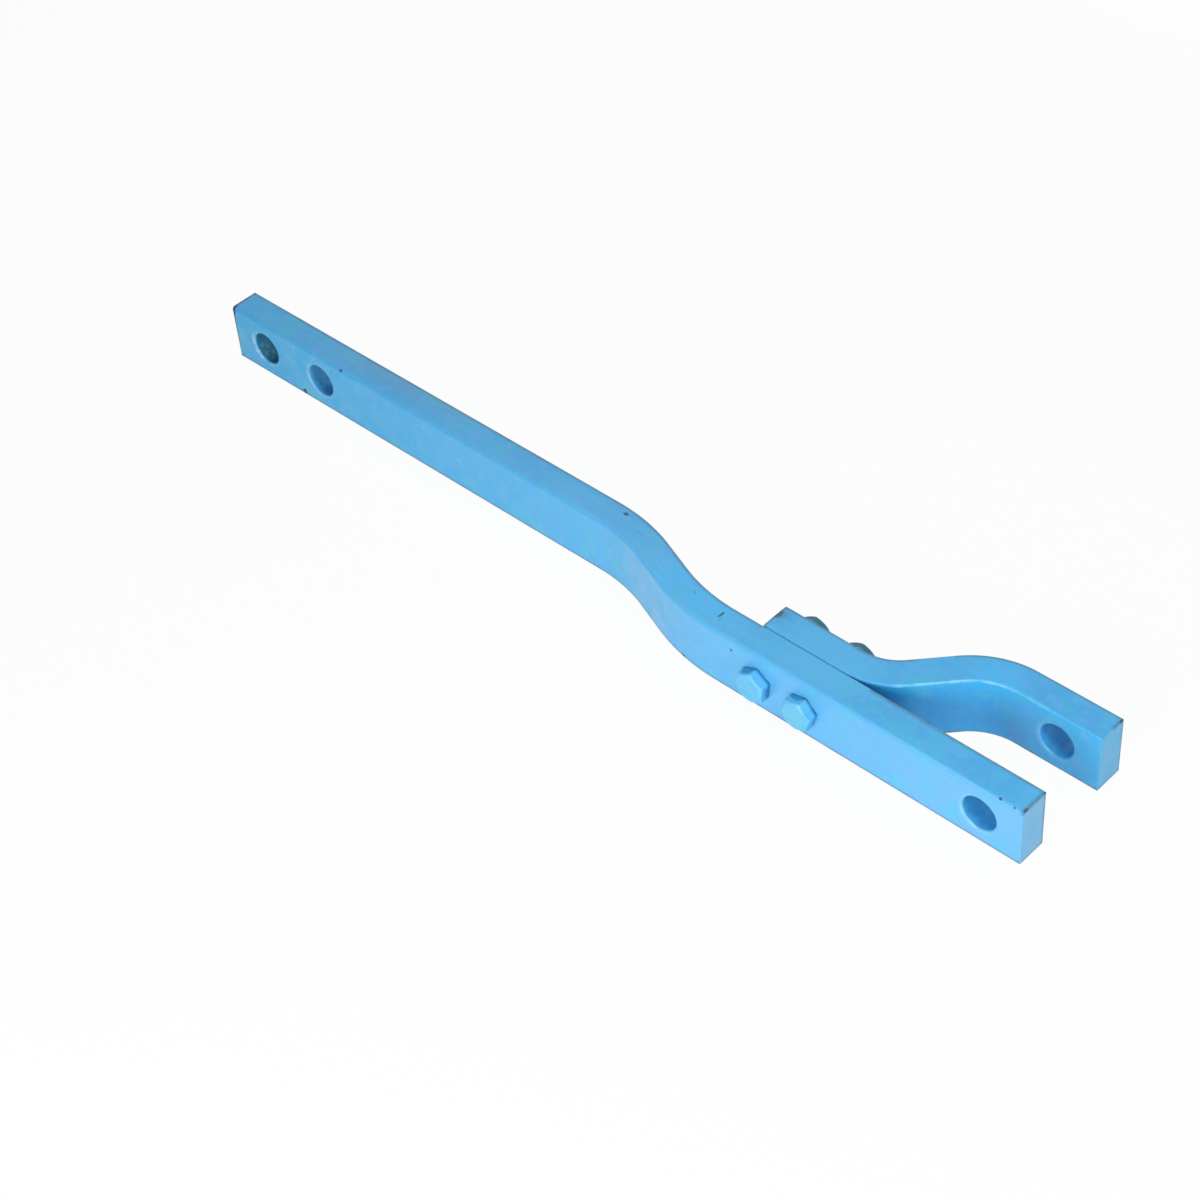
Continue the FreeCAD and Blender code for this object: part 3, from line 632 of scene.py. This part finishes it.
def thickCoat(t, place, p, streaksAndShade, frontLight):
    # soft clouds, long rolling streaks and a fine mottle, like enamel over mill scale
    layers = {name: t.noise(place, name) for name in tones}
    shares = [t.math("MULTIPLY", layers[name], share) for name, share in tones.items()]
    colour = t.mix(t.spread(t.joined("ADD", shares), *limits["tone"]), p["deep"], p["pale"])
    for coat in ("pale", "fresh", "deep"):
        area = spotMask(t, place, coats[coat], rim="coats")
        colour = t.over(colour, p[coat], area, strength["coats"])
    ragged = t.math("MULTIPLY", layers["mottle"], p["greyRagged"])
    greyed = spotMask(t, place, coats["greyish"], ragged, "greyish")
    colour = t.over(colour, p["greyish"], greyed, strength["greyish"])
    if streaksAndShade:
        dark = spotMask(t, place, streaksAndShade, rim="streaksAndShade")
        colour = t.over(colour, p["streaksAndShade"], dark, strength["streaksAndShade"])
    if frontLight:      # painted light: two tints of the front faces, at the tractor end and at the hitch end
        litTint = t.mix(t.spread(t.part(place, "X"), *limits["frontLight"]), *frontLight)
        colour = t.over(colour, litTint, t.attribute("frontFace"), strength["frontLight"])
    for tint in ("green", "violet"):
        colour = t.mix(t.patchy(place, tint), colour, p[tint])
    return colour


def wornAndShadedEdges(t, place, p, colour, edgeWearAndShade, flat):
    # painted shade along the flats' upper front edges and along their edges that look away from the front;
    # on the small pieces, darker paint along all edges and rims
    outer = t.attribute("edgeTurn")
    patches = t.patchy(place, "patches")
    if flat:
        # painted shade on the upper front edges, except under the lip's painted highlight
        above = t.math("SUBTRACT", t.attribute("topEdge"), t.attribute("lipHighlight"), True)
        colour = t.over(colour, p["shade"], t.math("MULTIPLY", outer, above), strength["shade"])
        # painted shade along the edges that look away from the front
        outer = t.math("POWER", t.math("MULTIPLY", outer, t.attribute("shadedEdge")), p["shadedEdgeFall"])
    return t.over(colour, p["wornAndShaded"], t.math("MULTIPLY", outer, patches), edgeWearAndShade)


def boresAndSeam(t, place, p, colour, wedge, holes):
    # painted shade deep in the bores and in the wedge between the flats; painted highlights on the pin
    # holes' rims and the strap's lip
    inBore = t.attribute("bore")
    bore = t.math("MULTIPLY", inBore, t.patchy(place, "boreShadeNoise"))
    nearer = t.spread(t.part(place, "X"), *limits["boreTint"])
    colour = t.mix(bore, colour, t.mix(nearer, p["bore"], p["boreNear"]))
    colour = t.over(colour, p["wedge"], inBore, t.patchy(place, "boreDarkNoise"))
    # painted shade in the wedge, on the faces that look at each other
    deepIn = t.math("MULTIPLY", spotMask(t, place, wedge, rim="wedge"), t.attribute("inner"))
    colour = t.over(colour, p["wedge"], deepIn, strength["wedge"])
    # painted highlights on the pin holes' rims
    colour = t.mix(rimHighlights(t, place, holes), colour, p["ring"])
    # a painted highlight along the strap's lip
    lipHighlight = t.math("MULTIPLY", t.attribute("lipHighlight"), t.patchy(place, "lipHighlight"))
    return t.mix(lipHighlight, colour, p["lipHighlight"]), bore, lipHighlight


def headFootShade(t, place, p, colour):
    # painted shade at the foot of the heads, where they meet the bar; all that stands behind the seat, the
    # nuts too, takes the same tint in full
    front, back = ((bolt["seat"] - before) * mm for before in headFoot)
    return t.over(colour, p["wedge"], t.spread(t.part(place, "Y"), front, back), strength["foot"])


def sootyBore(t, place, p, colour, soot):
    inside = t.spread(t.attribute("bore"), *limits["soot"])
    inside = t.math("MULTIPLY", inside, t.patchy(place, "thinCoat"))
    return t.over(colour, p["soot"], inside, spotMask(t, place, soot))


def addMarks(t, place, p, colour, marks):
    # scuffs, rust and chips, with the painted light and shade listed among them, and how bare the surface is
    # where they are
    centred = t.math("SUBTRACT", t.noise(place, "ragged"), 0.5)
    ragged = t.math("MULTIPLY", centred, p["ragged"])
    masks = []
    for kind in ("scuffsAndLight", "rimGlint", "rustAndShade", "chips"):
        if kind in marks:
            masks.append(t.math("MULTIPLY", spotMask(t, place, marks[kind], ragged), strength[kind]))
            colour = t.mix(masks[-1], colour, p[kind])
    return colour, t.joined("MAXIMUM", masks)


def enamel(name, marks, p=paint, edgeWearAndShade=0.85, flat=True, holes=(), frontLight=()):
    material = bpy.data.materials.new(name)
    t = Tree(material)
    place = t.add("ShaderNodeTexCoord").outputs["Object"]

    colour = thickCoat(t, place, p, marks.get("streaksAndShade"), frontLight)
    if flat:
        # painted reflection: the sawn end faces are tinted lighter and greyer
        colour = t.over(colour, p["end"], t.attribute("sawn"), t.patchy(place, "endSheen"))
    colour = wornAndShadedEdges(t, place, p, colour, edgeWearAndShade, flat)
    if flat:
        colour, bore, lipHighlight = boresAndSeam(t, place, p, colour, marks["wedge"], holes)
    else:
        colour = headFootShade(t, place, p, colour)
    if "soot" in marks:
        colour = sootyBore(t, place, p, colour, marks["soot"])
    colour, bare = addMarks(t, place, p, colour, marks)

    roughness = t.spread(t.noise(place, "dull"), *limits["dull"], *p["roughness"])
    peel = t.math("MULTIPLY", t.noise(place, "peel"), p["peel"])
    height = t.math("ADD", peel, t.math("MULTIPLY", t.patchy(place, "pits"), p["pits"]))
    if flat:
        cuts = t.math("MULTIPLY", t.noise(place, "saw"), t.attribute("sawn"))
        height = t.math("ADD", height, t.math("MULTIPLY", cuts, p["saw"]))
        roughness = t.math("ADD", roughness, t.math("MULTIPLY", bore, p["boreDull"]))
        roughness = t.math("SUBTRACT", roughness, t.math("MULTIPLY", lipHighlight, p["lipGloss"]))
    roughness = t.math("ADD", roughness, t.math("MULTIPLY", bare, p["bareDull"]))
    height = t.math("SUBTRACT", height, t.math("MULTIPLY", bare, p["bareSunk"]))
    bump = t.add("ShaderNodeBump", {"Height": height, "Strength": 1.0, "Distance": 1.0 * mm})
    shader = t.add("ShaderNodeBsdfPrincipled", {
        "Base Color": colour, "Roughness": roughness, "Normal": bump.outputs[0], "IOR": p["ior"]})
    t.add("ShaderNodeOutputMaterial", {"Surface": shader.outputs[0]})
    return material


# the marks on each piece, as (place in mm, reach in mm), and its own tints

wedgeShade = [((-128.0, -26.0, 0.0), (62.0, 26.0, 60.0))]      # painted shade where the strap leaves the bar
barMarks = {
    "chips": [
        ((-363.2, -5.4, 25.4), (2.2, 1.6, 1.5)),        # top, where the rear bend starts
        ((-238.6, -40.6, 25.4), (0.9, 3.4, 1.5)),       # scratch across the top
        ((-268.3, -35.3, 25.4), (0.6, 0.6, 1.0)),
        ((-216.8, -55.6, 15.4), (1.2, 1.5, 1.2)),       # dot above the rear bolt
        ((-266.0, -52.0, -24.0), (1.8, 2.0, 1.4)),      # lower edge
        ((-158.0, -55.0, -24.6), (1.3, 1.6, 1.2)),
        ((-656.0, -23.8, 25.0), (1.8, 1.8, 1.8)),       # beside the pivot holes, upper and lower edge
        ((-707.5, -23.8, -22.0), (2.4, 2.0, 2.2)),
        ((-786.4, -23.4, 23.0), (3.2, 4.4, 5.4)),       # far corner, and down its edge
        ((-787.2, -23.6, 13.0), (1.8, 2.4, 11.0)),
        ((-787.0, -12.0, 25.4), (1.5, 13.0, 1.8)),      # along the far end's top, to the back corner
        ((-786.6, 0.6, 25.0), (2.0, 2.2, 1.8)),
        ((-785.6, -23.6, -24.2), (2.0, 1.6, 1.6)),      # its lower corner
        ((15.7, -54.2, 25.2), (1.3, 1.2, 1.2)),         # hitch end
        ((27.3, -55.0, 25.2), (1.0, 1.0, 1.0)),
        ((34.4, -52.0, 25.2), (1.2, 2.2, 1.0)),
        ((34.8, -31.6, 24.8), (1.1, 1.5, 1.0)),
    ],
    "rustAndShade": [
        ((-762.8, -18.0, -5.5), (2.0, 1.8, 2.2)),       # bare specks in the outer pivot bore
        ((-761.0, -14.5, -8.5), (2.4, 1.8, 2.0)),
        ((-758.5, -18.5, -11.5), (2.6, 1.6, 1.8)),
        ((-756.0, -13.0, -12.5), (2.4, 2.0, 2.0)),
        ((-752.5, -17.0, -13.6), (1.8, 1.4, 1.4)),
    ],
    "scuffsAndLight": [
        ((-668.2, -23.8, 17.1), (1.5, 1.5, 1.5)),
        ((-236.2, -44.2, 25.4), (0.9, 2.4, 2.0)),
        ((-252.0, -52.0, 19.0), (3.0, 2.0, 2.0)),
    ],
    "rimGlint": [      # a painted highlight on the rounded rim beside the outer pivot hole
        ((-766.0, -23.8, 2.5), (1.8, 2.0, 5.5)),
        ((-763.6, -23.8, -8.6), (2.8, 2.0, 2.2)),
        ((-759.5, -23.8, -12.8), (2.2, 2.0, 1.4)),
    ],
    "soot": [((-750.1, -10.5, 0.0), (22.0, 19.0, 22.0))],      # hardly any paint in the outer pivot bore
    "wedge": wedgeShade,
}
barTint = {"rustAndShade": (0.085, 0.27, 0.41)}
barFrontLight = ((0.012, 0.392, 0.775), (0.126, 0.408, 0.742))       # painted light on the front faces, a deeper blue at the tractor end and paler at the hitch end
strapMarks = {
    "chips": [
        ((-209.0, -17.0, 24.8), (1.2, 2.6, 1.6)),       # rear end
        ((35.2, 53.0, 25.0), (1.1, 2.2, 1.0)),          # hitch end, far corner
    ],
    "rustAndShade": [
        ((-209.0, -15.8, 24.8), (2.2, 6.0, 3.0)),
        ((-208.0, -14.0, 25.4), (2.8, 4.5, 1.5)),
    ],
    "scuffsAndLight": [((-205.8, -13.8, 25.2), (3.6, 5.2, 3.0))],
    "streaksAndShade": [      # grime on the tail, and runs down the inside of the bend
        ((-204.5, -13.0, 25.2), (11.0, 9.0, 4.0)),
        ((-202.0, -5.2, 25.2), (13.0, 5.0, 4.0)),
        ((-52.2, 26.3, -1.0), (2.2, 4.0, 30.0)),
        ((-45.5, 28.6, 2.0), (1.6, 3.0, 22.0)),
        ((-35.2, 30.2, -3.0), (2.2, 3.0, 28.0)),
    ],
    "wedge": wedgeShade,
}
strapTint = {"end": (0.094, 0.432, 0.705), "rustAndShade": (0.038, 0.074, 0.096)}
# painted shade on the strap's faces that look at the bar, a deeper blue
strapFrontLight = ((0.040, 0.430, 0.790), (0.024, 0.412, 0.785))
boltMarks = {
    "rustAndShade": [      # painted shade on the facets that face up and back, and down the rear head's right side
        ((-198.7, -57.8, 9.7), (7.5, 5.2, 3.0)),
        ((-181.6, -57.2, -2.5), (3.0, 3.8, 7.0)),
        ((-154.5, -57.0, 10.5), (7.5, 3.6, 3.0)),
    ],
    "scuffsAndLight": [      # a little greener on the front head's face; painted light on its upper facet that faces the hitch end
        ((-151.8, -65.4, -1.2), (10.0, 3.0, 10.0)),
        ((-144.7, -60.0, 11.0), (6.0, 4.5, 6.0)),
    ],
    "streaksAndShade": [      # painted shade in spots along the chamfers, where they catch the light
        ((-187.5, -64.6, 8.8), (7.5, 2.0, 6.0)),
        ((-141.5, -64.4, 4.5), (4.0, 2.0, 4.0)),
    ],
}
boltTint = {
    "pale": (0.122, 0.480, 0.780), "deep": (0.090, 0.415, 0.725), "wedge": (0.012, 0.185, 0.400),
    "rustAndShade": (0.016, 0.252, 0.470), "scuffsAndLight": (0.150, 0.510, 0.640), "streaksAndShade": (0.070, 0.340, 0.600),
    "roughness": (0.38, 0.54),
}
nutMarks = {
    "rustAndShade": [      # darker over the upper back of each nut
        ((-193.6, 11.0, 10.0), (16.0, 5.0, 6.5)),
        ((-151.8, 11.0, 10.0), (16.0, 5.0, 6.5)),
    ],
}
nutTint = {"wedge": (0.050, 0.285, 0.420), "rustAndShade": (0.040, 0.145, 0.175)}

barPaint = enamel("bar enamel", barMarks, {**paint, **barTint}, holes=bar["pinHoles"], frontLight=barFrontLight)
finishPiece(makeFlat("drawbarBar", bar), barPaint, "drawbar_bar")
strapPaint = enamel("strap enamel", strapMarks, {**paint, **strapTint}, holes=strap["pinHoles"],
                    frontLight=strapFrontLight)
finishPiece(makeFlat("clevisStrap", strap), strapPaint, "clevis_strap")

boltPaint = enamel("bolt enamel", boltMarks, {**paint, **boltTint}, edgeWearAndShade=0.0, flat=False)
nutPaint = enamel("nut enamel", nutMarks, {**paint, **nutTint}, edgeWearAndShade=0.9, flat=False)
for side in ("rear", "front"):
    finishPiece(makeBolt(side), boltPaint, side + "_bolt")
for side in ("rear", "front"):
    finishPiece(makeNut(side), nutPaint, side + "_nut")
for side in ("rear", "front"):
    finishPiece(makeWasher(side), nutPaint, side + "_lock_washer")
print("bolts, nuts and washers made")


# floor, light and camera, with places and sizes in metres

stage = {
    "floorLevel": -0.0254, "floorSize": 12.0, "floorColour": (0.80, 0.80, 0.80), "glow": 0.95,
    "worldStrength": 0.16, "worldColour": (0.95, 0.98, 1.0),
}
lamps = {
    "lowFront": {"place": (0.0, -1.2, 0.12), "size": (0.8, 0.3), "power": 6.2, "colour": (1.0, 0.84, 0.72)},
    "front": {"place": (0.0, -1.1, 0.45), "size": (0.7, 0.4), "power": 6.1, "colour": (1.0, 0.95, 0.90)},
    "lowRight": {"place": (1.1, -0.35, 0.25), "size": (0.5, 0.4), "power": 2.8, "colour": (0.78, 0.97, 1.0)},
    "farLeft": {"place": (-0.9, 0.2, 1.1), "size": (0.7, 0.7), "power": 3.4, "colour": (0.80, 0.93, 1.0)},
    "overhead": {"place": (0.6, -0.2, 1.2), "size": (0.5, 0.5), "power": 9.0, "colour": (0.86, 0.97, 1.0)},
    "behind": {"place": (-0.35, 1.3, 0.12), "size": (0.9, 0.25), "power": 4.2, "colour": (1.0, 0.93, 0.88)},
    "small": {"place": (0.75, -1.05, 1.45), "size": (0.10, 0.10), "power": 1.6, "colour": (1.0, 0.98, 0.96)},
}
lampAim = (-0.15, -0.03, 0.0)
camera = {
    "place": (0.677967, -1.014507, 1.314166), "aim": (-0.334549, -0.066120, 0.0),
    "roll": -5.09, "lens": 79.018, "sensor": 36.0,      # degrees, mm and mm
}


def seenDirectly(t):
    # 1 for rays that look straight at it or by reflection, 0 for rays that light the object
    path = t.add("ShaderNodeLightPath")
    both = t.math("MAXIMUM", path.outputs["Is Camera Ray"], path.outputs["Is Glossy Ray"])
    return t.math("MAXIMUM", both, path.outputs["Is Transmission Ray"])


def makeFloor(s=stage):
    bm = bmesh.new()
    bmesh.ops.create_grid(bm, x_segments=1, y_segments=1, size=s["floorSize"] / 2)
    bmesh.ops.translate(bm, verts=bm.verts, vec=(0, 0, s["floorLevel"]))
    floor = addPiece("studioFloor", bm)
    material = bpy.data.materials.new("studio floor")
    t = Tree(material)
    matt = t.add("ShaderNodeBsdfDiffuse", {"Color": (*s["floorColour"], 1)})
    glow = t.add("ShaderNodeEmission", {"Color": (1, 1, 1, 1), "Strength": 1.0})
    share = t.math("MULTIPLY", seenDirectly(t), s["glow"])
    both = t.add("ShaderNodeMixShader", {0: share, 1: matt.outputs[0], 2: glow.outputs[0]})
    t.add("ShaderNodeOutputMaterial", {"Surface": both.outputs[0]})
    floor.data.materials.append(material)


def makeWorld(s=stage):
    world = bpy.data.worlds.new("studio")
    scene.world = world
    t = Tree(world)
    soft = t.add("ShaderNodeBackground", {"Color": (*s["worldColour"], 1), "Strength": s["worldStrength"]})
    white = t.add("ShaderNodeBackground", {"Color": (1, 1, 1, 1), "Strength": 1.0})
    pick = t.add("ShaderNodeMixShader", {0: seenDirectly(t), 1: soft.outputs[0], 2: white.outputs[0]})
    t.add("ShaderNodeOutputWorld", {"Surface": pick.outputs[0]})


def makeLamps():
    for name, facts in lamps.items():
        light = bpy.data.lights.new(name, "AREA")
        light.shape = "RECTANGLE"
        light.size, light.size_y = facts["size"]
        light.energy = facts["power"]
        light.color = facts["colour"]
        lamp = bpy.data.objects.new(name, light)
        scene.collection.objects.link(lamp)
        lamp.visible_camera = False
        place = Vector(facts["place"])
        lamp.location = place
        lamp.rotation_euler = (Vector(lampAim) - place).to_track_quat("-Z", "Y").to_euler()


def makeCamera(c=camera):
    data = bpy.data.cameras.new("shot")
    data.lens = c["lens"]
    data.sensor_width = c["sensor"]
    data.sensor_fit = "HORIZONTAL"
    shot = bpy.data.objects.new("shot", data)
    scene.collection.objects.link(shot)
    place = Vector(c["place"])
    look = (Vector(c["aim"]) - place).to_track_quat("-Z", "Y").to_matrix()
    roll = Matrix.Rotation(math.radians(c["roll"]), 3, "Z")
    shot.matrix_world = Matrix.Translation(place) @ (look @ roll).to_4x4()
    scene.camera = shot


makeFloor()
makeWorld()
makeLamps()
makeCamera()
scene.view_settings.view_transform = "Standard"
print("floor, light and camera set")
